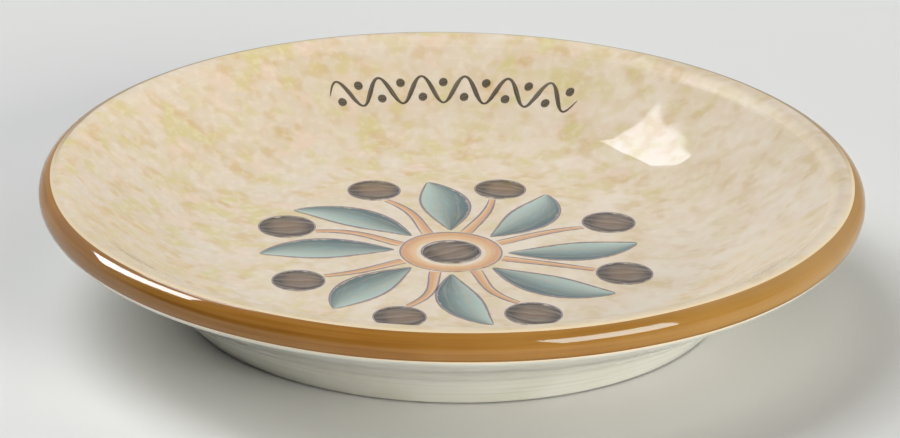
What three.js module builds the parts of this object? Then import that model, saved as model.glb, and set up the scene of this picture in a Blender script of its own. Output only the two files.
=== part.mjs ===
// Small round dip dish: one turned clay body with a foot ring and a rolled lip,
// and the coats of glaze that are laid on it one after another.
// Millimetres, +Z up. The origin is on the table, under the middle of the dish.

import * as THREE from 'three';

// Finished size of the dish
const RIM_RADIUS = 75;
const HEIGHT = 24;
const GLAZE = 0.4;

// Round of the rolled lip
const LIP_ROUND = 3.4;

// Inside of the dish: slope of the wall at the lip, radius of its slight hollow,
// radius of the cove at its foot, level of the floor
const WALL_ANGLE = 38.6;
const WALL_HOLLOW = 180;
const COVE_RADIUS = 30;
const FLOOR_HEIGHT = 8;

// Foot ring that the dish stands on, with the shallow recess inside it
const FOOT_INSET = 25.5;
const FOOT_WIDTH = 6;
const FOOT_ROUND = 1;
const RECESS_DEPTH = 2.6;
const RECESS_CORNER = 1.2;

// Knee of the underside, where the steep wall of the foot turns into the flatter wall under the lip
const KNEE_INSET = 18.6;
const KNEE_HEIGHT = 7.8;
const KNEE_FILLET = 12;

// Bare clay left above the outer round of the foot, where the glaze is wiped off
const WIPED_EDGE = 0.4;

// Where the coloured band begins and ends on the round of the lip, from level outwards
const BAND_LOWER_ANGLE = -28;
const BAND_UPPER_ANGLE = 66;

// Facets round the dish, and the largest turn between two points of an arc:
// of the lip and the cove, of the wide hollow of the wall, and of the small rounds underneath
const SEGMENTS = 64;
const ARC_STEP = 12;
const WIDE_ARC_STEP = 2;
const SMALL_ARC_STEP = 30;

const { degToRad, radToDeg } = THREE.MathUtils;

// Unit vector at an angle in degrees from level, outwards
function direction(angle) {
  return new THREE.Vector2(Math.cos(degToRad(angle)), Math.sin(degToRad(angle)));
}

// Points of an arc about a centre, between two angles in degrees
function arc(centre, radius, from, to, largestStep = ARC_STEP) {
  const steps = Math.ceil(Math.abs(to - from) / largestStep);
  const points = [];
  for (let i = 0; i <= steps; i += 1) {
    const angle = from + ((to - from) * i) / steps;
    points.push(direction(angle).multiplyScalar(radius).add(centre));
  }
  return points;
}

// Outline of the clay, worked out from the driving sizes
const lipCentre = new THREE.Vector2(RIM_RADIUS - LIP_ROUND, HEIGHT - LIP_ROUND);
const clayLip = LIP_ROUND - GLAZE;
const footRadius = RIM_RADIUS - FOOT_INSET;
const footOuter = new THREE.Vector2(footRadius - FOOT_ROUND, FOOT_ROUND);
const footInner = new THREE.Vector2(footRadius - FOOT_WIDTH + FOOT_ROUND, FOOT_ROUND);
const recessRadius = footInner.x - FOOT_ROUND;
const recessCorner = new THREE.Vector2(recessRadius - RECESS_CORNER, RECESS_DEPTH - RECESS_CORNER);

// The underside is two cones that meet at the knee: one touches the round of the foot,
// the other the round of the lip, and a fillet softens the corner between them
const knee = new THREE.Vector2(RIM_RADIUS - KNEE_INSET, KNEE_HEIGHT);
const footToKnee = knee.clone().sub(footOuter);
const kneeToLip = lipCentre.clone().sub(knee);
const lowerAngle = radToDeg(footToKnee.angle() + Math.asin(FOOT_ROUND / footToKnee.length()));
const upperAngle = radToDeg(kneeToLip.angle() - Math.asin(clayLip / kneeToLip.length()));
const lowerNormal = lowerAngle - 90;
const upperNormal = upperAngle - 90;
const kneeTangent = KNEE_FILLET * Math.tan(degToRad((lowerAngle - upperAngle) / 2));
const kneeCentre = knee
  .clone()
  .addScaledVector(direction(lowerAngle), -kneeTangent)
  .addScaledVector(direction(lowerNormal), KNEE_FILLET);
const wipedPoint = direction(lowerNormal)
  .multiplyScalar(FOOT_ROUND)
  .add(footOuter)
  .addScaledVector(direction(lowerAngle), WIPED_EDGE);

// The wall inside is a wide hollow arc that touches the round of the lip. The cove leads on from it,
// at the slope where an arc of its radius comes down level with the floor.
const wallNormal = WALL_ANGLE + 90;
const hollowCentre = lipCentre.clone().addScaledVector(direction(wallNormal), LIP_ROUND + WALL_HOLLOW);
const coveHeight = FLOOR_HEIGHT + COVE_RADIUS;
const coveToHollow = WALL_HOLLOW - COVE_RADIUS;
const coveNormal = 90 + radToDeg(Math.acos((hollowCentre.y - coveHeight) / coveToHollow));
const coveCentre = hollowCentre.clone().addScaledVector(direction(coveNormal), -coveToHollow);

// Stretches of the outline, in order from the middle underneath round to the middle of the face.
// Each is drawn on the clay, or on the glaze that stands proud of it.

function recessLine(proud) {
  return [
    new THREE.Vector2(0, RECESS_DEPTH - proud),
    ...arc(recessCorner, RECESS_CORNER - proud, 90, 0, SMALL_ARC_STEP),
  ];
}

function footLine() {
  return [
    ...arc(footInner, FOOT_ROUND, 180, 270, SMALL_ARC_STEP),
    ...arc(footOuter, FOOT_ROUND, -90, lowerNormal, SMALL_ARC_STEP),
  ];
}

function undersideLine(proud) {
  return [
    wipedPoint.clone().addScaledVector(direction(lowerNormal), proud),
    ...arc(kneeCentre, KNEE_FILLET - proud, lowerNormal + 180, upperNormal + 180),
    ...arc(lipCentre, clayLip + proud, upperNormal, BAND_LOWER_ANGLE),
  ];
}

function bandLine(proud) {
  return arc(lipCentre, clayLip + proud, BAND_LOWER_ANGLE, BAND_UPPER_ANGLE);
}

function faceLine(proud) {
  const sunk = GLAZE - proud;
  return [
    ...arc(lipCentre, clayLip + proud, BAND_UPPER_ANGLE, wallNormal),
    ...arc(hollowCentre, WALL_HOLLOW + sunk, wallNormal - 180, coveNormal - 180, WIDE_ARC_STEP),
    ...arc(coveCentre, COVE_RADIUS + sunk, coveNormal - 180, -90),
    new THREE.Vector2(0, FLOOR_HEIGHT - sunk),
  ];
}

// Solid of revolution about Z; points that repeat are left out
function turned(outline) {
  const points = outline.filter((point, i) => i === 0 || point.distanceTo(outline[i - 1]) > 1e-6);
  return new THREE.LatheGeometry(points, SEGMENTS).rotateX(Math.PI / 2);
}

// A coat of glaze: the space between a stretch of the clay and the same stretch GLAZE proud of it
function coat(line) {
  const outside = line(GLAZE);
  const inside = line(0).reverse();
  if (outside[0].x === 0) return turned([...outside, ...inside]);
  if (inside[0].x === 0) return turned([...inside, ...outside]);
  return turned([...outside, ...inside, outside[0]]);
}

function clayBody() {
  return turned([
    ...recessLine(0),
    ...footLine(),
    ...undersideLine(0),
    ...bandLine(0),
    ...faceLine(0),
  ]);
}

const finishes = {
  clay: { color: '#d8c4a2', roughness: 0.9, metalness: 0 },
  cream: { color: '#e2d1ae', roughness: 0.15, metalness: 0 },
  ochre: { color: '#9d6a2f', roughness: 0.12, metalness: 0 },
  white: { color: '#e6e2d4', roughness: 0.18, metalness: 0 },
};

const dish = new THREE.Group();

function addPiece(name, geometry, finish) {
  const piece = new THREE.Mesh(geometry, new THREE.MeshStandardMaterial(finish));
  piece.name = name;
  dish.add(piece);
}

addPiece('clay_body', clayBody(), finishes.clay);
addPiece('face_glaze', coat(faceLine), finishes.cream);
addPiece('rim_band', coat(bandLine), finishes.ochre);
addPiece('underside_glaze', coat(undersideLine), finishes.white);
addPiece('recess_glaze', coat(recessLine), finishes.white);

export default dish;
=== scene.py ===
# %% [markdown]
# # A small painted dip dish
# This lesson dresses the solid model of a shallow earthenware dish: a turned clay body, coats of
# glaze laid on it, and a little painting under the clear coat. The solid model fixes every size,
# so the first step loads it and prints the names of its pieces.

# %% Load the solid model
import math

import bpy
import numpy as np
from mathutils import Matrix, Vector


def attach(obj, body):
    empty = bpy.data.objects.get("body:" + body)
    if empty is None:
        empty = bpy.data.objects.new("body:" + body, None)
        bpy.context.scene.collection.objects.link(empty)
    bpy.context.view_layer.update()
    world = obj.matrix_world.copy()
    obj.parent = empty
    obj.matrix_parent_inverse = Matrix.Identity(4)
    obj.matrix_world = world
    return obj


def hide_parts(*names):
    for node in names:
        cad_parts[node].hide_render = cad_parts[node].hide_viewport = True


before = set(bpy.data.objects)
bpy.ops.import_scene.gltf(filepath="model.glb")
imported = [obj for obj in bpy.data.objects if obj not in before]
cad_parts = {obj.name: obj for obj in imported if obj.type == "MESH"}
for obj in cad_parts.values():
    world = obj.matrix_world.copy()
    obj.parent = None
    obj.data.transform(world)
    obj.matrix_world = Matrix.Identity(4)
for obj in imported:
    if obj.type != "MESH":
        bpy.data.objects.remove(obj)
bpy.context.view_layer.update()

MM = 0.001
print("solid pieces:", sorted(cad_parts))

# %% [markdown]
# ## The camera
# The photograph looks down on the dish from the front with a long lens. A camera could be dragged
# into place by eye, but three angles and a distance are easier to check and to change. The camera
# first looks straight at a point inside the dish, then rolls a little, and at last tilts so that
# the point lands on its own pixel of the 900 by 438 picture.

# %% Camera
PICTURE = (900, 438)
AIM = Vector((0, 0, 10 * MM))
AIM_PIXEL = (451.2, 242.0)
CAMERA_DISTANCE = 1000 * MM
CAMERA_HEIGHT_ANGLE = 22.6
CAMERA_ROLL = 1.02
FOCAL_PIXELS = 5479
SENSOR = 36

camera_up = math.radians(CAMERA_HEIGHT_ANGLE)
to_camera = Vector((0, -math.cos(camera_up), math.sin(camera_up)))
tilt = math.atan((AIM_PIXEL[1] - PICTURE[1] / 2) / FOCAL_PIXELS)
pan = math.atan((AIM_PIXEL[0] - PICTURE[0] / 2) / FOCAL_PIXELS)

camera_data = bpy.data.cameras.new("camera")
camera_data.sensor_fit = "HORIZONTAL"
camera_data.sensor_width = SENSOR
camera_data.lens = FOCAL_PIXELS * SENSOR / PICTURE[0]
camera_data.clip_start = 10 * MM
camera = bpy.data.objects.new("camera", camera_data)
turned_to_aim = (-to_camera).to_track_quat("-Z", "Y").to_matrix()
roll = Matrix.Rotation(math.radians(CAMERA_ROLL), 3, "Z")
lean = Matrix.Rotation(tilt, 3, "X") @ Matrix.Rotation(pan, 3, "Y")
camera.matrix_world = (
    Matrix.Translation(AIM + to_camera * CAMERA_DISTANCE) @ (turned_to_aim @ roll @ lean).to_4x4()
)
bpy.context.scene.collection.objects.link(camera)
bpy.context.scene.camera = camera
print(f"camera: {camera_data.lens:.0f} mm lens, {CAMERA_HEIGHT_ANGLE} degrees up")

# %% [markdown]
# ## The outline of the dish
# A potter turns such a dish with one template, so one half outline describes all of it: foot ring,
# knee, rolled lip, sloping wall and flat floor. It could be drawn as a Bezier curve, but arcs and
# straight lines that touch each other stay true to the template and give exact tangents, which
# a mirror-like glaze shows at once. The sizes are those of the solid model, in millimetres.

# %% Sizes of the outline
RIM_RADIUS = 75 * MM
HEIGHT = 24 * MM
GLAZE = 0.4 * MM
LIP_ROUND = 3.4 * MM
WALL_ANGLE = 38.6
WALL_HOLLOW = 180 * MM
COVE_RADIUS = 30 * MM
FLOOR_HEIGHT = 8 * MM
FOOT_INSET = 25.5 * MM
FOOT_WIDTH = 6 * MM
FOOT_ROUND = 1 * MM
RECESS_DEPTH = 2.6 * MM
RECESS_CORNER = 1.2 * MM
KNEE_INSET = 18.6 * MM
KNEE_HEIGHT = 7.8 * MM
KNEE_FILLET = 12 * MM
WIPED_EDGE = 0.4 * MM
BAND_LOWER_ANGLE = -28
BAND_UPPER_ANGLE = 66

# %% Points and angles worked out from the sizes
def direction(angle):
    """Unit vector in the plane of the outline, at an angle in degrees up from level."""
    return np.array([math.cos(math.radians(angle)), math.sin(math.radians(angle))])


def heading(vector):
    """Angle in degrees of a vector in the plane of the outline."""
    return math.degrees(math.atan2(vector[1], vector[0]))


lip_centre = np.array([RIM_RADIUS - LIP_ROUND, HEIGHT - LIP_ROUND])
clay_lip = LIP_ROUND - GLAZE
foot_radius = RIM_RADIUS - FOOT_INSET
foot_outer = np.array([foot_radius - FOOT_ROUND, FOOT_ROUND])
foot_inner = np.array([foot_radius - FOOT_WIDTH + FOOT_ROUND, FOOT_ROUND])
recess_radius = foot_inner[0] - FOOT_ROUND
recess_corner = np.array([recess_radius - RECESS_CORNER, RECESS_DEPTH - RECESS_CORNER])

knee = np.array([RIM_RADIUS - KNEE_INSET, KNEE_HEIGHT])
foot_to_knee = knee - foot_outer
knee_to_lip = lip_centre - knee
lower_angle = heading(foot_to_knee) + math.degrees(math.asin(FOOT_ROUND / np.hypot(*foot_to_knee)))
upper_angle = heading(knee_to_lip) - math.degrees(math.asin(clay_lip / np.hypot(*knee_to_lip)))
lower_normal = lower_angle - 90
upper_normal = upper_angle - 90
knee_tangent = KNEE_FILLET * math.tan(math.radians((lower_angle - upper_angle) / 2))
knee_centre = knee - knee_tangent * direction(lower_angle) + KNEE_FILLET * direction(lower_normal)
wiped_point = foot_outer + FOOT_ROUND * direction(lower_normal) + WIPED_EDGE * direction(lower_angle)

wall_normal = WALL_ANGLE + 90
hollow_centre = lip_centre + (LIP_ROUND + WALL_HOLLOW) * direction(wall_normal)
cove_to_hollow = WALL_HOLLOW - COVE_RADIUS
cove_drop = hollow_centre[1] - FLOOR_HEIGHT - COVE_RADIUS
cove_normal = 90 + math.degrees(math.acos(cove_drop / cove_to_hollow))
cove_centre = hollow_centre - cove_to_hollow * direction(cove_normal)
print(f"flat floor reaches {cove_centre[0] / MM:.1f} mm")
print(f"wall slopes {cove_normal - 90:.0f} to {WALL_ANGLE} degrees")
print(f"underside slopes {lower_angle:.0f}, then {upper_angle:.0f} degrees")

# %% [markdown]
# ## Stretches of the outline
# The coats are bounded by the same outline as the clay, drawn once on the clay and once a glaze
# thickness proud of it, so that they meet face to face. The brown band is laid on by hand with
# the dish on a wheel, and its two edges wander by a tenth of a millimetre or two. That is why an
# arc may begin or end at a different angle for each turn: its points are an array of turn by step.

# %% Arcs and straight runs
TURN_STEPS = 384
turn = np.linspace(0, 2 * np.pi, TURN_STEPS, endpoint=False)


def arc(centre, radius, start, end, steps):
    """Points at centre + radius * (cos a, sin a), for angles a from start to end in degrees."""
    share = np.linspace(0, 1, steps + 1)
    angle = np.asarray(start)[..., None] * (1 - share) + np.asarray(end)[..., None] * share
    return centre + radius * np.stack([np.cos(np.radians(angle)), np.sin(np.radians(angle))], axis=-1)


def straight(start, end, steps):
    """Points between two points, closer together near both ends, without the end points."""
    share = (1 - np.cos(np.linspace(0, np.pi, steps + 2)[1:-1])) / 2
    return np.asarray(start) * (1 - share[:, None]) + np.asarray(end) * share[:, None]


def joined(*runs):
    """Runs of points one after another; a run that is the same all round is repeated for every turn."""
    full = [np.broadcast_to(run, (TURN_STEPS, *run.shape[-2:])) for run in runs]
    return np.concatenate(full, axis=1)


print("turns round the dish:", TURN_STEPS)

# %% Edges of the band, drawn by hand
HAND_WAVES = [(0.9, 2, 1.0), (0.7, 5, 2.1), (0.5, 13, 3.7)]


def hand_line(angle, phase):
    """An angle on the lip plus three sines round the dish: each has a size in degrees, a count of
    waves and a share of the phase."""
    return angle + sum(size * np.sin(count * turn + part * phase) for size, count, part in HAND_WAVES)


band_lower = hand_line(BAND_LOWER_ANGLE, phase=0.8)
band_upper = hand_line(BAND_UPPER_ANGLE, phase=2.3)
wander = np.ptp(np.radians(band_upper)) * LIP_ROUND
print(f"upper edge of the band wanders over {wander / MM:.2f} mm")

# %% The five stretches
def recess_line(proud):
    """The recess under the dish: level from the axis, then round its corner down the foot ring."""
    corner = arc(recess_corner, RECESS_CORNER - proud, 90, 0, steps=8)
    level = straight((0, RECESS_DEPTH - proud), corner[0], steps=6)
    return joined(np.array([[0, RECESS_DEPTH - proud]]), level, corner)


def foot_line():
    """The bare standing edge: a quarter round inside, level, and a round outside."""
    inner = arc(foot_inner, FOOT_ROUND, 180, 270, steps=8)
    outer = arc(foot_outer, FOOT_ROUND, -90, lower_normal, steps=6)
    return joined(inner, straight(inner[-1], outer[0], steps=4), outer)


def underside_line(proud):
    """Two cones with a fillet at the knee, then round under the lip to the brown band."""
    start = wiped_point + proud * direction(lower_normal)
    bend = arc(knee_centre, KNEE_FILLET - proud, lower_normal + 180, upper_normal + 180, steps=6)
    lip = arc(lip_centre, clay_lip + proud, np.full(TURN_STEPS, upper_normal), band_lower, steps=12)
    lip_start = lip_centre + (clay_lip + proud) * direction(upper_normal)
    lower_cone = straight(start, bend[0], steps=5)
    upper_cone = straight(bend[-1], lip_start, steps=6)
    return joined(start[None], lower_cone, bend, upper_cone, lip)


def band_line(proud):
    """Round the lip between two hand-drawn edges."""
    return arc(lip_centre, clay_lip + proud, band_lower, band_upper, steps=36)


def face_line(proud):
    """Over the lip, down the hollow wall, round the cove and level to the axis."""
    sunk = GLAZE - proud
    lip = arc(lip_centre, clay_lip + proud, band_upper, np.full(TURN_STEPS, wall_normal), steps=24)
    wall = arc(hollow_centre, WALL_HOLLOW + sunk, wall_normal - 180, cove_normal - 180, steps=12)
    cove = arc(cove_centre, COVE_RADIUS + sunk, cove_normal - 180, -90, steps=24)
    centre = np.array([0, FLOOR_HEIGHT - sunk])
    return joined(lip, wall[1:], cove[1:], straight(cove[-1], centre, steps=8), centre[None])


print("points on the face stretch:", face_line(GLAZE).shape)

# %% [markdown]
# ## Turning an outline into a closed surface
# Blender's Screw modifier could spin the outline, but then the hand-drawn edges would be lost.
# Instead the whole surface is one grid: turn by point of the outline. An outline that begins and
# ends on the axis gets one vertex there, and a loop closes on itself, so no seam stays open.

# %% Carry an outline round the axis
def turned(outline):
    """x = r cos(turn), y = r sin(turn), z = z for every outline point (r, z) at every turn.

    Neighbouring points of neighbouring turns make four-sided faces that look outwards.
    """
    on_axis = outline[0, 0, 0] == 0
    rings = outline[:, 1:-1] if on_axis else outline
    across, along = np.cos(turn)[:, None], np.sin(turn)[:, None]
    grid = np.stack([rings[..., 0] * across, rings[..., 0] * along, rings[..., 1]], axis=-1)
    vertices = grid.reshape(-1, 3)
    index = np.arange(len(vertices)).reshape(grid.shape[:2])
    if not on_axis:
        index = np.concatenate([index, index[:, :1]], axis=1)
    onward = np.roll(index, -1, axis=0)
    quads = np.stack([index[:, :-1], onward[:, :-1], onward[:, 1:], index[:, 1:]], axis=-1)
    faces = quads.reshape(-1, 4).tolist()
    if on_axis:
        poles = np.array([[0, 0, outline[0, 0, 1]], [0, 0, outline[0, -1, 1]]])
        first = np.full(TURN_STEPS, len(vertices))
        last = first + 1
        faces += np.stack([first, onward[:, 0], index[:, 0]], axis=-1).tolist()
        faces += np.stack([index[:, -1], onward[:, -1], last], axis=-1).tolist()
        vertices = np.concatenate([vertices, poles])
    return vertices, faces


def coat(line):
    """A coat of glaze: along the glazed surface and back along the clay. Where the stretch ends on
    the axis it starts there instead, out along the clay and back along the glazed surface."""
    outside, inside = line(GLAZE), line(0)[:, ::-1]
    if inside[0, 0, 0] == 0:
        return turned(np.concatenate([inside, outside], axis=1))
    return turned(np.concatenate([outside, inside], axis=1))


print("points on the coat in the recess:", len(coat(recess_line)[0]))

# %% [markdown]
# ## Finishes
# Each finish is a small tree of shader nodes. One helper adds a node and fills its sockets, with
# a number or with the output of another node, so a tree can be read from top to bottom. Colours
# are written as they look on a screen, 0 to 255, and turned into the linear values of a shader.

# %% Colours and nodes
def paint(red, green, blue):
    """Screen colour to linear light: below 0.04 divide by 12.92, above it raise to the power 2.4."""
    screen = np.array([red, green, blue]) / 255
    linear = np.where(screen < 0.04045, screen / 12.92, ((screen + 0.055) / 1.055) ** 2.4)
    return (*linear.tolist(), 1.0)


def feed(tree, socket, value):
    """Links an output to a socket, or sets the socket to a plain value."""
    if isinstance(value, bpy.types.NodeSocket):
        tree.links.new(value, socket)
    else:
        socket.default_value = value


def add_node(tree, kind, sockets, output=0, **settings):
    """Adds a shader node, fills its sockets and returns one of its outputs."""
    node = tree.nodes.new(kind)
    for name, value in settings.items():
        setattr(node, name, value)
    for name, value in sockets.items():
        feed(tree, node.inputs[name], value)
    return node.outputs[output]


def new_finish(name):
    """An empty finish: its material, its tree, its shader and the object coordinates."""
    material = bpy.data.materials.new(name)
    material.use_nodes = True
    tree = material.node_tree
    shader = tree.nodes["Principled BSDF"]
    place = tree.nodes.new("ShaderNodeTexCoord").outputs["Object"]
    return material, tree, shader, place


def connect(tree, shader, **sockets):
    """Feeds the shader's sockets; an underscore in a name stands for a space."""
    for name, value in sockets.items():
        feed(tree, shader.inputs[name.replace("_", " ")], value)


print("middle grey in linear light:", round(paint(128, 128, 128)[0], 3))

# %% Noise, soft steps and mixing
MIX_FACTOR = 0
MIX_FIRST = 6
MIX_SECOND = 7
MIX_RESULT = 2
UP = (0, 0, 1)
TO_BACK = (0, 1, 0)
TO_RIGHT = (1, 0, 0)
NOISE_MIDDLE = (0.35, 0.65)
NOISE_MOST = (0.3, 0.7)


def mixed(tree, factor, first, second, blend="MIX"):
    """A colour between two others; the factor is 0 at the first and 1 at the second."""
    sockets = {MIX_FACTOR: factor, MIX_FIRST: first, MIX_SECOND: second}
    settings = {"data_type": "RGBA", "blend_type": blend}
    return add_node(tree, "ShaderNodeMix", sockets, output=MIX_RESULT, **settings)


def between(tree, value, low, high, start=0.0, end=1.0):
    """A soft step: start below low, end above high, and an S-shaped rise between them."""
    sockets = {"Value": value, "From Min": low, "From Max": high, "To Min": start, "To Max": end}
    return add_node(tree, "ShaderNodeMapRange", sockets, interpolation_type="SMOOTHSTEP")


def stretched(tree, place, size):
    """Coordinates divided by a size along x, y and z, so that each size becomes one unit."""
    scale = [1 / length for length in size]
    return add_node(tree, "ShaderNodeMapping", {"Vector": place, "Scale": scale})


def speckle(tree, place, detail=2.0, roughness=0.5):
    """Cloudy noise, from about 0.2 to 0.8, with one cloud for each unit of the place."""
    sockets = {"Vector": place, "Scale": 1.0, "Detail": detail, "Roughness": roughness}
    return add_node(tree, "ShaderNodeTexNoise", sockets)


def calculated(tree, operation, *numbers):
    """One step of arithmetic on numbers or outputs, such as ADD or ABSOLUTE."""
    return add_node(tree, "ShaderNodeMath", dict(enumerate(numbers)), operation=operation)


def distance_along(tree, place, towards):
    """How far a point lies from the origin in a direction: their dot product."""
    sockets = {0: place, 1: towards}
    return add_node(tree, "ShaderNodeVectorMath", sockets, output="Value", operation="DOT_PRODUCT")


print("directions: up", UP, "to the back", TO_BACK, "to the right", TO_RIGHT)

# %% [markdown]
# ### The skin of the glaze
# Fired glaze is as smooth as glass, but it isn't flat: it settles in soft waves several
# millimetres wide and only hundredths of a millimetre high. They give a window's reflection its
# wandering edge. The mesh could carry them, but only with a far finer grid, so a bump in the shader
# does it. All the glazes share this skin, so that it runs on from one coat to the next.

# %% Soft waves in the glaze
GLAZE_ROUGHNESS = 0.05
RIPPLE_LENGTH = 9 * MM
RIPPLE_HEIGHT = 0.07 * MM


def glaze_skin(tree, place):
    """A bump whose height is cloudy noise of one ripple length, scaled to the ripple height."""
    ripples = speckle(tree, stretched(tree, place, [RIPPLE_LENGTH] * 3), detail=1.0)
    bump = {"Height": ripples, "Distance": RIPPLE_HEIGHT, "Strength": 1.0}
    return add_node(tree, "ShaderNodeBump", bump)


slope = math.degrees(math.atan(math.pi * RIPPLE_HEIGHT / RIPPLE_LENGTH))
print(f"a sine as long and high as a ripple leans by {slope:.1f} degrees")

# %% [markdown]
# ### Bare clay
# The standing edge is wiped before firing, so the table touches dry clay. It is matt and pale,
# with fine grog in it and faint rings from the turning tool, and a painted contact shadow darkens it
# where it meets the table.
# A photograph of clay could be wrapped round it, but noise has no seam and fits any size.

# %% Bare clay
CLAY_DARK = paint(206, 186, 154)
CLAY_LIGHT = paint(226, 210, 182)
CLAY_CONTACT_SHADE = paint(48, 41, 32)
GROG_SIZE = [0.5 * MM] * 3
TOOL_MARK = [40 * MM, 40 * MM, 0.4 * MM]
CONTACT_SHADE_EDGE = (0.45 * MM, 0.3 * MM)
CLAY_RELIEF = 0.08 * MM
CLAY_ROUGHNESS = 0.85

bare_clay, tree, shader, place = new_finish("bare_clay")
grog = speckle(tree, stretched(tree, place, GROG_SIZE), detail=4.0, roughness=0.7)
rings = speckle(tree, stretched(tree, place, TOOL_MARK), detail=2.0)
tone = mixed(tree, between(tree, grog, *NOISE_MIDDLE), CLAY_DARK, CLAY_LIGHT)
# painted contact shadow: the lowest fraction of a millimetre of the foot is darkened where it meets the
# table
contact_shade = between(tree, distance_along(tree, place, UP), *CONTACT_SHADE_EDGE)
tone = mixed(tree, contact_shade, tone, CLAY_CONTACT_SHADE)
grain_height = calculated(tree, "ADD", grog, rings)
relief = add_node(tree, "ShaderNodeBump", {"Height": grain_height, "Distance": CLAY_RELIEF})
connect(tree, shader, Base_Color=tone, Roughness=CLAY_ROUGHNESS, Normal=relief)
print("finish:", bare_clay.name)

# %% [markdown]
# ### White glaze
# Outside and in the recess the glaze is a warm white. Under it the marks of the turning tool show
# as faint grey rings. They could be cut as grooves, but the glaze has filled them, so they are only
# a colour: noise drawn out sideways and packed tightly in height. Just under the brown band
# a narrow line is cream.

# %% White glaze
WHITE_DARK = paint(226, 224, 210)
WHITE_LIGHT = paint(234, 232, 222)
RING_GREY = paint(196, 190, 172)
UNDER_BAND_CREAM = paint(250, 228, 194)
GREY_RING = [60 * MM, 60 * MM, 0.9 * MM]
RING_TOPS = (0.52, 0.68)
RING_STRENGTH = 0.35
WHITE_CLOUD = [16 * MM] * 3
UNDER_BAND_EDGE = (18.65 * MM, 18.78 * MM)

white_glaze, tree, shader, place = new_finish("white_glaze")
rings = speckle(tree, stretched(tree, place, GREY_RING), detail=3.0, roughness=0.6)
clouds = speckle(tree, stretched(tree, place, WHITE_CLOUD))
ground = mixed(tree, between(tree, clouds, *NOISE_MIDDLE), WHITE_DARK, WHITE_LIGHT)
tone = mixed(tree, between(tree, rings, *RING_TOPS, end=RING_STRENGTH), ground, RING_GREY)
# a narrow cream line just under the brown band
under_band = between(tree, distance_along(tree, place, UP), *UNDER_BAND_EDGE)
tone = mixed(tree, under_band, tone, UNDER_BAND_CREAM)
connect(tree, shader, Base_Color=tone, Roughness=GLAZE_ROUGHNESS, Normal=glaze_skin(tree, place))
print("finish:", white_glaze.name)

# %% [markdown]
# ### Ochre band
# The band round the lip is a thin ochre colour laid on with a broad brush while the dish turned.
# Each streak could be a stroke of its own, but bristles leave hundreds of them along the band, so
# here too noise is drawn out sideways, and larger clouds make the colour denser and thinner in
# places. On the right the band is paler with painted light, and it is darker along the lower edge.
# Towards the back the clear glaze over it is thin, and it shines less.

# %% Ochre band
OCHRE_DENSE = paint(144, 94, 32)
OCHRE_STREAK = paint(164, 115, 50)
OCHRE_CLOUD = paint(176, 130, 66)
OCHRE_PAINTED_LIGHT = paint(168, 131, 68)
OCHRE_LOWER_DARK = paint(118, 78, 34)
BRISTLE_MARK = [45 * MM, 45 * MM, 0.7 * MM]
BAND_CLOUD = [22 * MM] * 3
CLOUD_TOPS = (0.4, 0.7)
CLOUD_STRENGTH = 0.4
PAINTED_LIGHT_SIDE = (-10 * MM, 65 * MM)
PAINTED_LIGHT_STRENGTH = 0.6
LOWER_DARK_EDGE = (19.5 * MM, 19.15 * MM)
LOWER_DARK_STRENGTH = 0.6
THIN_BACK = (-32 * MM, -12 * MM)
FULL_SHINE = 0.5
BACK_SHINE = 0.1

ochre_glaze, tree, shader, place = new_finish("ochre_glaze")
streaks = speckle(tree, stretched(tree, place, BRISTLE_MARK), detail=3.0, roughness=0.6)
clouds = speckle(tree, stretched(tree, place, BAND_CLOUD))
tone = mixed(tree, between(tree, streaks, *NOISE_MOST), OCHRE_DENSE, OCHRE_STREAK)
tone = mixed(tree, between(tree, clouds, *CLOUD_TOPS, end=CLOUD_STRENGTH), tone, OCHRE_CLOUD)
# painted light: the band is paler towards the right
painted_light = between(tree, distance_along(tree, place, TO_RIGHT), *PAINTED_LIGHT_SIDE, end=PAINTED_LIGHT_STRENGTH)
tone = mixed(tree, painted_light, tone, OCHRE_PAINTED_LIGHT)
# darker along the lowest edge of the band
lower_dark = between(tree, distance_along(tree, place, UP), *LOWER_DARK_EDGE, end=LOWER_DARK_STRENGTH)
tone = mixed(tree, lower_dark, tone, OCHRE_LOWER_DARK)
shine = between(tree, distance_along(tree, place, TO_BACK), *THIN_BACK, FULL_SHINE, BACK_SHINE)
connect(tree, shader, Base_Color=tone, Roughness=GLAZE_ROUGHNESS, Specular_IOR_Level=shine)
connect(tree, shader, Normal=glaze_skin(tree, place))
print("finish:", ochre_glaze.name)

# %% [markdown]
# ### Sponged cream
# The face is cream, dabbed over with a natural sponge in peach, tan and straw. One noise alone
# looks like marble, so several are laid over each other: patches of about ten millimetres, dabs
# of four to five in each colour, and the open pores. The sponge was full when it started at the
# far left and emptier on the right, where little straw is left, and the floor is calmer.

# %% Sponged ground, shared by the face and by the painting on it
CREAM = paint(230, 216, 195)
BUFF = paint(220, 206, 186)
PALE = paint(238, 227, 212)
PEACH = paint(225, 202, 179)
TAN = paint(210, 184, 140)
STRAW = paint(212, 198, 146)
PATCH_SIZE = [10 * MM] * 3
WORKED_PATCH = (0.3, 0.65)
BARE_PATCH_STRENGTH = 0.4
TAN_PATCH = (0.35, 0.7)
TAN_PATCH_STRENGTH = 0.35
DABS = [(PEACH, 5.3 * MM, 0.8), (TAN, 4.0 * MM, 0.7), (STRAW, 4.7 * MM, 0.3)]
DAB_SHAPE = (1.0, 0.9, 1.1)
DAB_EDGE = (0.46, 0.7)
PORE_SIZE = [1.7 * MM] * 3
PORE_EDGE = (0.45, 0.7)
PORE_STRENGTH = 0.25
TO_FAR_LEFT = (-0.9, 0.4, 0)
BUFF_SIDE = (-30 * MM, 45 * MM)
FULL_SPONGE = (-40 * MM, 10 * MM)
CALM_FLOOR = (20 * MM, 50 * MM)
FLOOR_STRENGTH = 0.6


def product(tree, first, second):
    """Two numbers multiplied."""
    return calculated(tree, "MULTIPLY", first, second)


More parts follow.
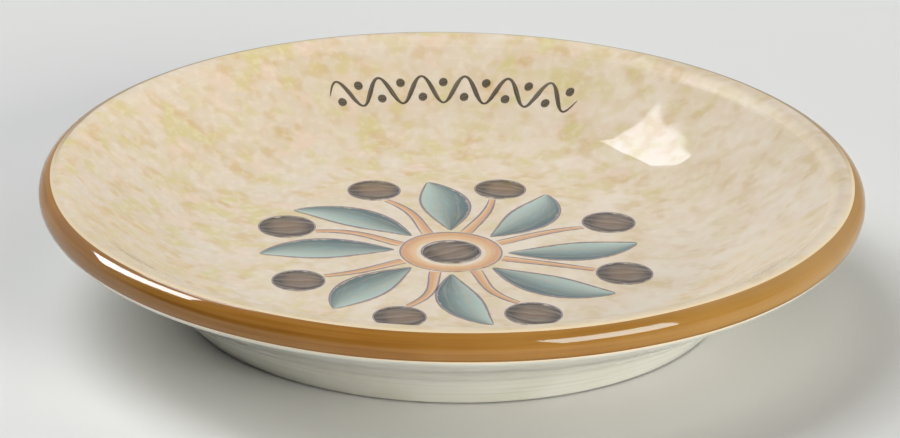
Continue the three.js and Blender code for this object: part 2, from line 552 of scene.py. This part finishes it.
def distance_from_axis(tree, place):
    """How far a point lies from the middle of the dish: the length of its x and y."""
    flat = add_node(tree, "ShaderNodeVectorMath", {0: place, 1: (1, 1, 0)}, operation="MULTIPLY")
    return add_node(tree, "ShaderNodeVectorMath", {0: flat}, output="Value", operation="LENGTH")


def sponged_ground(tree, place):
    """Cream with soft patches, then dabs of each colour mixed over it, stronger on the wall and
    weaker on the right by each colour's own share, then pale pores."""
    far_left = distance_along(tree, place, TO_FAR_LEFT)
    wall = between(tree, distance_from_axis(tree, place), *CALM_FLOOR, start=FLOOR_STRENGTH)
    patches = speckle(tree, stretched(tree, place, PATCH_SIZE), detail=1.0)
    pores = speckle(tree, stretched(tree, place, PORE_SIZE), detail=2.0)
    worked = product(tree, wall, between(tree, patches, *WORKED_PATCH, start=BARE_PATCH_STRENGTH))
    tone = mixed(tree, between(tree, far_left, *BUFF_SIDE), CREAM, BUFF)
    tone = mixed(tree, between(tree, patches, *TAN_PATCH, end=TAN_PATCH_STRENGTH), tone, TAN)
    for colour, size, right_share in DABS:
        dabs = speckle(tree, stretched(tree, place, [part * size for part in DAB_SHAPE]), detail=1.0)
        loaded = product(tree, worked, between(tree, far_left, *FULL_SPONGE, start=right_share))
        tone = mixed(tree, product(tree, loaded, between(tree, dabs, *DAB_EDGE)), tone, colour)
    return mixed(tree, between(tree, pores, *PORE_EDGE, end=PORE_STRENGTH), tone, PALE)


print("dabs in mm:", [round(size / MM, 1) for _, size, _ in DABS])

# %% [markdown]
# ### Cream glaze on the face
# A clear glaze covers the sponged ground. Glaze runs thin over an edge: along the crest of the lip
# it is duller, and in front the tan of the clay comes through. On the right the crest is a shade
# darker: painted shade.
# A pale line is left where it meets the band, and at the back the brown of the band runs over the
# crest. Each of these could be a piece of its own, but they have no thickness, so soft steps in
# the distance from the axis are enough.

# %% Cream glaze
CREST_TAN = paint(202, 186, 160)
CREST_PAINTED_SHADE = paint(234, 233, 232)
PALE_LINE = paint(224, 205, 170)
RUN_OVER = paint(118, 90, 50)
FRONT_SIDE = (-10 * MM, -45 * MM)
FRONT_STRENGTH = 0.48
BACK_SIDE = (-5 * MM, 25 * MM)
BACK_STRENGTH = 0.7
RIGHT_SIDE = (28 * MM, 45 * MM)
RIGHT_STRENGTH = 0.8
BEHIND_FRONT = (-35 * MM, -8 * MM)
DULL_FROM = (67 * MM, 69.4 * MM)
TAN_FROM = (68.6 * MM, 70 * MM)
SHADE_FROM = (69.2 * MM, 70.6 * MM)
RUN_FROM = (71.9 * MM, 72.3 * MM)
PALE_FROM = (72.35 * MM, 72.55 * MM)
CREST_ROUGHNESS = 0.4
CREST_SHINE = 0.2

cream_glaze, tree, shader, place = new_finish("cream_glaze")
from_axis = distance_from_axis(tree, place)
to_back = distance_along(tree, place, TO_BACK)
front = between(tree, to_back, *FRONT_SIDE, end=FRONT_STRENGTH)
back = between(tree, to_back, *BACK_SIDE, end=BACK_STRENGTH)
right = between(tree, distance_along(tree, place, TO_RIGHT), *RIGHT_SIDE, end=RIGHT_STRENGTH)
right_behind = product(tree, right, between(tree, to_back, *BEHIND_FRONT))
front_crest = product(tree, front, between(tree, from_axis, *TAN_FROM))
# painted shade: on the right, behind the front, the crest is multiplied a shade darker
right_crest_shade = product(tree, right_behind, between(tree, from_axis, *SHADE_FROM))
back_crest = product(tree, back, between(tree, from_axis, *RUN_FROM))
tone = mixed(tree, front_crest, sponged_ground(tree, place), CREST_TAN)
tone = mixed(tree, right_crest_shade, tone, CREST_PAINTED_SHADE, blend="MULTIPLY")
tone = mixed(tree, between(tree, from_axis, *PALE_FROM), tone, PALE_LINE)
tone = mixed(tree, back_crest, tone, RUN_OVER)
dull = between(tree, from_axis, *DULL_FROM, GLAZE_ROUGHNESS, CREST_ROUGHNESS)
shine = between(tree, from_axis, *DULL_FROM, FULL_SHINE, CREST_SHINE)
connect(tree, shader, Base_Color=tone, Roughness=dull, Specular_IOR_Level=shine)
connect(tree, shader, Normal=glaze_skin(tree, place))
print("finish:", cream_glaze.name)

# %% [markdown]
# ## The body and its coats
# With the outline, the turning and the finishes in hand, each layer is one line. The clay takes
# all five stretches at its own surface; each coat takes its own stretch twice. The glaze could be
# only a colour on the clay, but as layers of their own the coats match the solid model.

# %% Clay body and glaze coats
SHARP_ANGLE = 35


def add_piece(name, vertices, faces, finish, slot, node=None, sharp=SHARP_ANGLE):
    """Puts a surface into a mesh object at the origin, with its finish, and lets it ride on the dish."""
    mesh = bpy.data.meshes.new(name)
    mesh.from_pydata(vertices.tolist(), [], faces)
    mesh.shade_smooth()
    mesh.set_sharp_from_angle(angle=math.radians(sharp))
    mesh.materials.append(finish)
    piece = bpy.data.objects.new(name, mesh)
    bpy.context.scene.collection.objects.link(piece)
    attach(piece, "root")
    if node:
        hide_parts(node)
    print(f"{name}: {len(mesh.vertices)} vertices, {len(mesh.polygons)} faces")
    return piece


clay_outline = joined(
    recess_line(0), foot_line(), underside_line(0), band_line(0)[:, 1:], face_line(0)[:, 1:]
)
add_piece("turned_body", *turned(clay_outline), bare_clay, "bare_clay", "clay_body")
add_piece("sponged_face", *coat(face_line), cream_glaze, "cream_glaze", "face_glaze")
add_piece("brown_band", *coat(band_line), ochre_glaze, "ochre_glaze", "rim_band")
add_piece("white_outside", *coat(underside_line), white_glaze, "white_glaze", "underside_glaze")
add_piece("white_recess", *coat(recess_line), white_glaze, "white_glaze", "recess_glaze")

# %% [markdown]
# ## Brush strokes
# The painting lies on the sponged ground under the clear glaze: a folk rosette with petals, a few
# dots on stems and a running wave on the far wall. It could be drawn in the shader, but hundreds
# of nodes would be hard to read. A stroke is easier as a thing of its own: a strip as wide as the
# brush, carried along a path on the face and hardly thicker than paint. Each strip gets a UV map,
# with u along the stroke in centimetres and v across it from -1 to 1, so that the bristle marks
# can follow the brush.

# %% Carry a strip along a path on the face
CENTIMETRE = 10 * MM
PAINT_LAYER = 0.015 * MM
PAINT_SINK = 0.06 * MM
ACROSS = np.array([-1, -0.96, -0.5, 0, 0.5, 0.96, 1, 0.96, -0.96])
LIFT = np.array([-1, 1, 1, 1, 1, 1, -1, -2, -2])

face_outline = face_line(GLAZE)[0, ::-1]


def face_height(radius):
    """Height of the glazed face at a distance from the axis, read from its outline."""
    return np.interp(radius, face_outline[:, 0], face_outline[:, 1])


def left_of(path):
    """Unit vectors to the left of a path in plan: its steps, turned by a right angle."""
    steps = np.gradient(path, axis=0)
    left = np.stack([-steps[:, 1], steps[:, 0]], axis=-1)
    return left / np.linalg.norm(steps, axis=1, keepdims=True)


def stroke(path, half_width, layer):
    """A strip along a path: each cross-section is the path point plus v half-widths to its left.

    Its height is that of the face there, plus so many layers of paint on top or minus the sink
    below. It returns the points, the faces along the strip, its two ends and its UV map.
    """
    plan = path[:, None] + left_of(path)[:, None] * (half_width[:, None] * ACROSS)[..., None]
    lift = np.where(LIFT > 0, layer * PAINT_LAYER, LIFT * PAINT_SINK)
    height = face_height(np.linalg.norm(plan, axis=-1)) + lift
    vertices = np.concatenate([plan, height[..., None]], axis=-1).reshape(-1, 3)
    travelled = np.concatenate([[0], np.cumsum(np.linalg.norm(np.diff(path, axis=0), axis=1))])
    uv = np.stack(np.broadcast_arrays(travelled[:, None] / CENTIMETRE, ACROSS), axis=-1).reshape(-1, 2)
    index = np.arange(len(vertices)).reshape(len(path), len(ACROSS))
    ends = np.stack([index[0, ::-1], index[-1]])
    index = np.concatenate([index, index[:, :1]], axis=1)
    quads = np.stack([index[:-1, :-1], index[1:, :-1], index[1:, 1:], index[:-1, 1:]], axis=-1)
    return vertices, quads.reshape(-1, 4), ends, uv


print(f"the face reaches {face_outline[-1, 0] / MM:.1f} mm from the middle")

# %% Join strokes of one colour
PAINT_SHARP_ANGLE = 8


def add_painting(name, strokes, finish):
    """Joins strokes into one piece: each counts its points on from the end of the one before."""
    points, quads, ends, uv = zip(*strokes)
    starts = np.cumsum([0] + [len(part) for part in points[:-1]])
    faces = np.concatenate([part + start for part, start in zip(quads, starts)]).tolist()
    faces += np.concatenate([part + start for part, start in zip(ends, starts)]).tolist()
    vertices = np.concatenate(points)
    piece = add_piece(name, vertices, faces, finish, "cream_glaze", sharp=PAINT_SHARP_ANGLE)
    corners = np.empty(len(piece.data.loops), dtype=np.int32)
    piece.data.loops.foreach_get("vertex_index", corners)
    brush_map = piece.data.uv_layers.new(name="brush")
    brush_map.data.foreach_set("uv", np.concatenate(uv)[corners].astype(np.float32).ravel())


print(f"one layer of paint: {PAINT_LAYER / MM:.3f} mm")

# %% [markdown]
# ### Paint that lets the ground through
# Ceramic colour is thin. Where the brush presses it is dense, along the bristles it breaks open,
# and at the edge it fades, so the sponged ground has to show through it. A see-through material
# could do that, but it needs blending wherever the dish is shown. So the paint mixes its pigment
# over the very same ground that the face has, in the same place on the dish.

# %% Brushed pigment
BRISTLE_STREAK = [0.9, 0.3, 1.0]
BROKEN_STREAK = (0.3, 0.6)
BROKEN_COVER = 0.75
WOBBLE_SIZE = [1.4 * MM] * 3
WOBBLE_STRENGTH = 0.4
EDGE_FADE = (1.24, 1.06)
DOT_MIDDLE = 0.55
DOT_SHADES = (0.8, 1.9)
LIGHT_SIDE = 1.5


def middle_of_dot(tree, along, off_middle):
    """1 in the middle of a dot and 0 at its edge: a soft step in the square of the way along it,
    times one in the square of the way across."""
    lengthways = calculated(tree, "MULTIPLY_ADD", along, 2.0, -2.0 * DOT_MIDDLE)
    along_dot = between(tree, product(tree, lengthways, lengthways), 1.0, 0.0)
    across_dot = between(tree, product(tree, off_middle, off_middle), 1.0, 0.0)
    return product(tree, across_dot, along_dot)


def brushed(name, dark, light, cover, fade=0.0, middle=False):
    """Pigment over the sponged ground, broken along the bristles.

    It goes from dark to light from one side of the stroke to the other, or from the edge of a dot
    to its middle. The fade is how much lighter it gets with each centimetre along the stroke.
    """
    material, tree, shader, place = new_finish(name)
    brush = place.node.outputs["UV"]
    along = add_node(tree, "ShaderNodeSeparateXYZ", {"Vector": brush})
    across = along.node.outputs["Y"]
    off_middle = calculated(tree, "ABSOLUTE", across)
    bristles = speckle(tree, stretched(tree, brush, BRISTLE_STREAK), detail=3.0, roughness=0.6)
    wobble = speckle(tree, stretched(tree, place, WOBBLE_SIZE), detail=2.0)
    if middle:
        shade = calculated(tree, "ADD", middle_of_dot(tree, along, off_middle), bristles)
        pigment = mixed(tree, between(tree, shade, *DOT_SHADES), dark, light)
    else:
        side = calculated(tree, "ADD", across, bristles)
        shade = calculated(tree, "MULTIPLY_ADD", along, fade, side)
        pigment = mixed(tree, between(tree, shade, 0.0, LIGHT_SIDE + 2 * fade), dark, light)
    ragged = calculated(tree, "MULTIPLY_ADD", wobble, WOBBLE_STRENGTH, off_middle)
    dense = between(tree, bristles, *BROKEN_STREAK, BROKEN_COVER * cover, cover)
    laid_on = product(tree, between(tree, ragged, *EDGE_FADE), dense)
    tone = mixed(tree, laid_on, sponged_ground(tree, place), pigment)
    connect(tree, shader, Base_Color=tone, Roughness=GLAZE_ROUGHNESS)
    connect(tree, shader, Normal=glaze_skin(tree, place))
    print("finish:", name)
    return material


teal = brushed("teal", paint(52, 88, 94), paint(172, 194, 186), cover=0.95, fade=0.35)
violet_grey = brushed("violet_grey", paint(104, 90, 108), paint(134, 118, 134), cover=0.9)
dark_brown = brushed("dark_brown", paint(44, 26, 18), paint(124, 96, 74), cover=0.97, middle=True)
umber = brushed("umber", paint(66, 58, 48), paint(86, 76, 64), cover=0.97)
orange_tan = brushed("orange_tan", paint(206, 150, 100), paint(228, 184, 138), cover=0.92)

# %% [markdown]
# ### A folk rosette
# Eight petals go round a dark eye. A hand never repeats itself, so each petal gets its own small
# turn, length and sway, drawn from a seeded generator that gives the same dish every time. A loaded
# brush presses down, widens and lifts off to a point: that is the sine in the petal's width.

# %% Shape of a petal
PETAL_START = 10.5 * MM
PETAL_TIP = 0.04
PETAL_LEAN = 1.15
PETAL_FULLNESS = 0.85
STROKE_POINTS = 40

along_stroke = np.linspace(0, 1, STROKE_POINTS)


def round_axis(radius, angle):
    """Points in plan at a distance from the axis and an angle round it."""
    return np.stack([radius * np.cos(angle), radius * np.sin(angle)], axis=-1)


def petal_path(angle, length, sway):
    """Outwards from the eye, swaying sideways with the square of the way travelled."""
    return round_axis(PETAL_START + length * along_stroke, angle + sway * along_stroke**2)


def petal_width(half_width):
    """Half a sine of the way travelled, leaning outwards and made fuller, plus a fine tip."""
    swell = np.sin(np.pi * along_stroke**PETAL_LEAN) ** PETAL_FULLNESS
    return half_width * (PETAL_TIP + swell)


def beside(path, offset):
    """The path shifted to its left by an offset at each of its points."""
    return path + left_of(path) * offset[:, None]


widest = along_stroke[np.argmax(petal_width(1.0))]
print(f"a petal is widest {widest:.0%} of the way along")

# %% Petals
PETALS = 8
PETAL_LENGTH = 24 * MM
PETAL_HALF_WIDTH = 4.3 * MM
PETAL_SWAY = 0.16
HAND_SEED = 11
HAND_TURN = 0.03
LINE_HALF_WIDTH = 0.18 * MM
LINE_TIP = 0.4
PETAL_LAYER = 1
STEM_LAYER = 2
DOT_LAYER = 3
LINE_LAYER = 4

chance = np.random.default_rng(HAND_SEED)
line_width = LINE_HALF_WIDTH * (LINE_TIP + np.sin(np.pi * along_stroke) ** 0.5)
petals, outlines = [], []
for number in range(PETALS):
    angle = 2 * np.pi * number / PETALS + chance.normal(0, HAND_TURN)
    length = PETAL_LENGTH * chance.uniform(0.95, 1.06)
    sway = PETAL_SWAY * chance.uniform(0.6, 1.4)
    half_width = petal_width(PETAL_HALF_WIDTH * chance.uniform(0.92, 1.08))
    path = petal_path(angle, length, sway)
    petals.append(stroke(path, half_width, PETAL_LAYER))
    for hand in (-1, 1):
        petal_edge = beside(path, hand * chance.uniform(0.92, 1.0) * half_width)
        outlines.append(stroke(petal_edge, line_width, LINE_LAYER + (hand > 0)))

add_painting("rosette_petals", petals, teal)

# %% [markdown]
# ### Eye, stems and dots
# A round dot is a stroke too: along a diameter, with the half-width of a circle. The stems are
# tan lines between the petals, and each ends in a dark dot with a fine outline. Colours that cross
# lie in layers, a hair's breadth one over the other, in the order in which the brush laid them.

# %% Shape of a dot and a ring
ALMOST_QUARTER_TURN = 1.54
DOT_POINTS = 32
RING_POINTS = 72
MIDDLE = np.zeros(2)


def dot(centre, radius, angle, layer):
    """A disc: a stroke along a diameter, as wide at each point as the circle is."""
    way = np.sin(np.linspace(-ALMOST_QUARTER_TURN, ALMOST_QUARTER_TURN, DOT_POINTS))
    path = centre + radius * way[:, None] * np.array([math.cos(angle), math.sin(angle)])
    return stroke(path, radius * np.sqrt(1 - way**2), layer)


def ring(centre, radius, half_width, layer, swell, start):
    """A closed brush line round a centre, whose width swells and shrinks once with the sine."""
    angle = np.linspace(0, 2 * np.pi, RING_POINTS) + start
    path = centre + round_axis(radius, angle)
    return stroke(path, half_width * (1 + swell * np.sin(angle)), layer)


print("points in a dot:", len(dot(MIDDLE, CENTIMETRE, 0, DOT_LAYER)[0]))

# %% Eye, stems and dots
DOT_RADIUS = 5.0 * MM
DOT_DISTANCE = 32 * MM
DOT_LINE = 0.14 * MM
EYE_RADIUS = 5.4 * MM
EYE_RING = 7.8 * MM
EYE_RING_HALF_WIDTH = 1.5 * MM
EYE_LINE = 0.16 * MM
STEM_START = 9.8 * MM
STEM_GAP = 0.4 * MM
STEM_HALF_WIDTH = 0.85 * MM
STEM_FOOT = 1.25
STEM_TAPER = 0.6
STEM_LINE_SHARE = 0.8
STEM_BEND = 0.1
LINE_SWELL = 0.3
RING_SWELL = 0.15

stem_width = STEM_HALF_WIDTH * (STEM_FOOT - STEM_TAPER * along_stroke)
stem_line = STEM_LINE_SHARE * line_width
dots, stems = [dot(MIDDLE, EYE_RADIUS, 0.6, DOT_LAYER)], []
for number in range(PETALS):
    angle = 2 * np.pi * (number + 0.5) / PETALS + PETAL_SWAY / 2 + chance.normal(0, HAND_TURN)
    reach = DOT_DISTANCE * chance.uniform(0.97, 1.03)
    dot_radius = DOT_RADIUS * chance.uniform(0.92, 1.08)
    bend = STEM_BEND * np.sin(np.pi * along_stroke) * chance.uniform(-1, 1)
    stem_length = reach - dot_radius - STEM_GAP - STEM_START
    stem = round_axis(STEM_START + stem_length * along_stroke, angle + bend)
    stems.append(stroke(stem, stem_width, STEM_LAYER))
    for hand in (-1, 1):
        outlines.append(stroke(beside(stem, hand * stem_width), stem_line, LINE_LAYER))
    centre = round_axis(reach, angle)
    dots.append(dot(centre, dot_radius, chance.uniform(-0.25, 0.25), DOT_LAYER))
    line_start = chance.uniform(0, 6)
    outlines.append(ring(centre, 0.98 * dot_radius, DOT_LINE, LINE_LAYER, LINE_SWELL, line_start))

stems.append(ring(MIDDLE, EYE_RING, EYE_RING_HALF_WIDTH, STEM_LAYER, RING_SWELL, 1.0))
eye_edge = EYE_RING + EYE_RING_HALF_WIDTH
outlines.append(ring(MIDDLE, eye_edge, EYE_LINE, LINE_LAYER, LINE_SWELL, 2.0))
outlines.append(ring(MIDDLE, EYE_RADIUS, EYE_LINE, LINE_LAYER, LINE_SWELL, 4.0))
add_painting("rosette_dots", dots, dark_brown)
add_painting("rosette_stems", stems, orange_tan)
add_painting("rosette_outlines", outlines, violet_grey)

# %% [markdown]
# ### The running wave
# On the far wall a dark line runs in waves, as on many country dishes, with a dot in each hollow.
# Its path is an arc round the axis whose radius swings like a sine. It could be a curve object
# with a round bevel, but a strip keeps the pressure of the brush.

# %% Running wave on the far wall
WAVES = 6
WAVE_RADIUS = 60.5 * MM
WAVE_SWING = 2.5 * MM
WAVE_REACH = math.radians(23)
WAVE_HALF_WIDTH = 0.42 * MM
WAVE_POINTS = 220
TIP_TAPER = 12
TIP_WIDTH = 0.1
SPOT_RADIUS = 0.85 * MM
SPOT_SWING = 0.55 * WAVE_SWING

along_wave = np.linspace(-1, 1, WAVE_POINTS)
wave_radius = WAVE_RADIUS + WAVE_SWING * np.sin(np.pi * WAVES * along_wave)
wave_path = round_axis(wave_radius, np.pi / 2 - WAVE_REACH * along_wave)
taper = np.minimum(1, TIP_TAPER * (1 - abs(along_wave)) + TIP_WIDTH)
pressure = 0.8 + 0.3 * np.cos(2 * np.pi * WAVES * along_wave)
hollows = (np.arange(2 * WAVES) + 0.5) / WAVES - 1
spot_radius = WAVE_RADIUS - SPOT_SWING * np.sin(np.pi * WAVES * hollows)
spots = round_axis(spot_radius, np.pi / 2 - WAVE_REACH * hollows)
wave = [stroke(wave_path, WAVE_HALF_WIDTH * pressure * taper, LINE_LAYER)]
wave += [dot(spot, SPOT_RADIUS, 0.4, LINE_LAYER) for spot in spots]
add_painting("wall_wave", wave, umber)

# %% [markdown]
# ## Floor and light
# The dish stands on a pale sheet of paper between four soft lamps: two in front on the right, of
# which the low one reaches under the rim, and two at the back on the left, which throw the shadow
# to the front right. The glaze is a mirror, so a lamp can also be placed by its reflection: half way
# between the view and the lamp lies the slope that shows it. Photographers light with large lamps
# and set smaller bright panes for the reflections, and so does this scene: the lamps are left out
# of the mirror image, and the panes are seen in nothing else. The white wall behind the table is
# only a mirror image too: the glaze shows it where the sides of the dish are seen at a slant.

# %% Floor
FLOOR_SIZE = 6.0
PAPER_DARK = paint(218, 218, 216)
PAPER_LIGHT = paint(222, 222, 220)
PAPER_CLOUD = [300 * MM] * 3
PAPER_ROUGHNESS = 0.8
PAPER_SHINE = 0.1

paper, tree, shader, place = new_finish("paper")
clouds = speckle(tree, stretched(tree, place, PAPER_CLOUD))
tone = mixed(tree, between(tree, clouds, *NOISE_MOST), PAPER_DARK, PAPER_LIGHT)
connect(tree, shader, Base_Color=tone, Roughness=PAPER_ROUGHNESS, Specular_IOR_Level=PAPER_SHINE)

half = FLOOR_SIZE / 2
floor_mesh = bpy.data.meshes.new("floor")
corners = [(-half, -half, 0), (half, -half, 0), (half, half, 0), (-half, half, 0)]
floor_mesh.from_pydata(corners, [], [(0, 1, 2, 3)])
floor_mesh.materials.append(paper)
floor = bpy.data.objects.new("floor", floor_mesh)
bpy.context.scene.collection.objects.link(floor)
print("floor:", FLOOR_SIZE, "m wide")

# %% Soft lamps and mirrored panes
LAMP_DISTANCE = 2.4
LAMP_SIZE = (1.4, 1.4)
WHITE = (1, 1, 1)
WARM = (1.02, 1.0, 0.95)
COOL = (0.97, 1.0, 1.04)
PALE_BLUE = (0.95, 1.0, 1.1)
PALE_CYAN = (0.8, 0.98, 1.0)


def panel(name, turn_angle, height_angle, size, glow, colour=WHITE, spin=0, mirrored=False):
    """A rectangular area light that looks at the dish, turned about its own axis by the spin.

    Its power is glow * pi * width * height, so that the glow is what a mirror would show of it.
    """
    data = bpy.data.lights.new(name, "AREA")
    data.shape = "RECTANGLE"
    data.size, data.size_y = size
    data.energy = glow * math.pi * size[0] * size[1]
    data.color = colour
    lamp = bpy.data.objects.new(name, data)
    around, up = math.radians(turn_angle), math.radians(height_angle)
    stand = Vector((math.cos(up) * math.cos(around), math.cos(up) * math.sin(around), math.sin(up)))
    facing = stand.to_track_quat("Z", "Y").to_matrix() @ Matrix.Rotation(math.radians(spin), 3, "Z")
    lamp.matrix_world = Matrix.Translation(stand * LAMP_DISTANCE) @ facing.to_4x4()
    lamp.visible_camera = False
    lamp.visible_diffuse = not mirrored
    lamp.visible_glossy = mirrored
    bpy.context.scene.collection.objects.link(lamp)
    print(f"{name}: {turn_angle} degrees round, {height_angle} degrees up")


panel("front_low_lamp", 317, 12, LAMP_SIZE, glow=10.2, colour=WARM)
panel("front_high_lamp", 317, 55, LAMP_SIZE, glow=1.6, colour=WARM)
panel("back_lamp", 133, 54, LAMP_SIZE, glow=5.9, colour=COOL)
panel("left_lamp", 155, 40, LAMP_SIZE, glow=2.8)
panel("left_pane", 160, 38, (1.19, 0.77), glow=17, spin=56, mirrored=True)
panel("front_pane", 317, 31, (1.40, 1.04), glow=10, colour=PALE_CYAN, mirrored=True)
panel("back_pane", 135.4, 53.6, (0.67, 0.39), glow=5.8, colour=PALE_BLUE, spin=56, mirrored=True)

# %% Room light and the mirrored wall
ROOM_LIGHT = 0.05
WALL_GLOW = 0.6
WALL_EDGE = (-0.1, 0.4)

world = bpy.data.worlds.new("studio")
world.use_nodes = True
tree = world.node_tree
towards = tree.nodes.new("ShaderNodeTexCoord").outputs["Generated"]
wall_glow = between(tree, distance_along(tree, towards, TO_BACK), *WALL_EDGE, end=WALL_GLOW)
rays = tree.nodes.new("ShaderNodeLightPath")
mirrored_wall = product(tree, wall_glow, rays.outputs["Is Glossy Ray"])
strength = calculated(tree, "ADD", mirrored_wall, ROOM_LIGHT)
connect(tree, tree.nodes["Background"], Strength=strength, Color=(1.0, 1.0, 1.0, 1.0))
bpy.context.scene.world = world
bpy.context.scene.view_settings.view_transform = "Standard"
print("room light:", ROOM_LIGHT, "and in a mirror up to", WALL_GLOW)
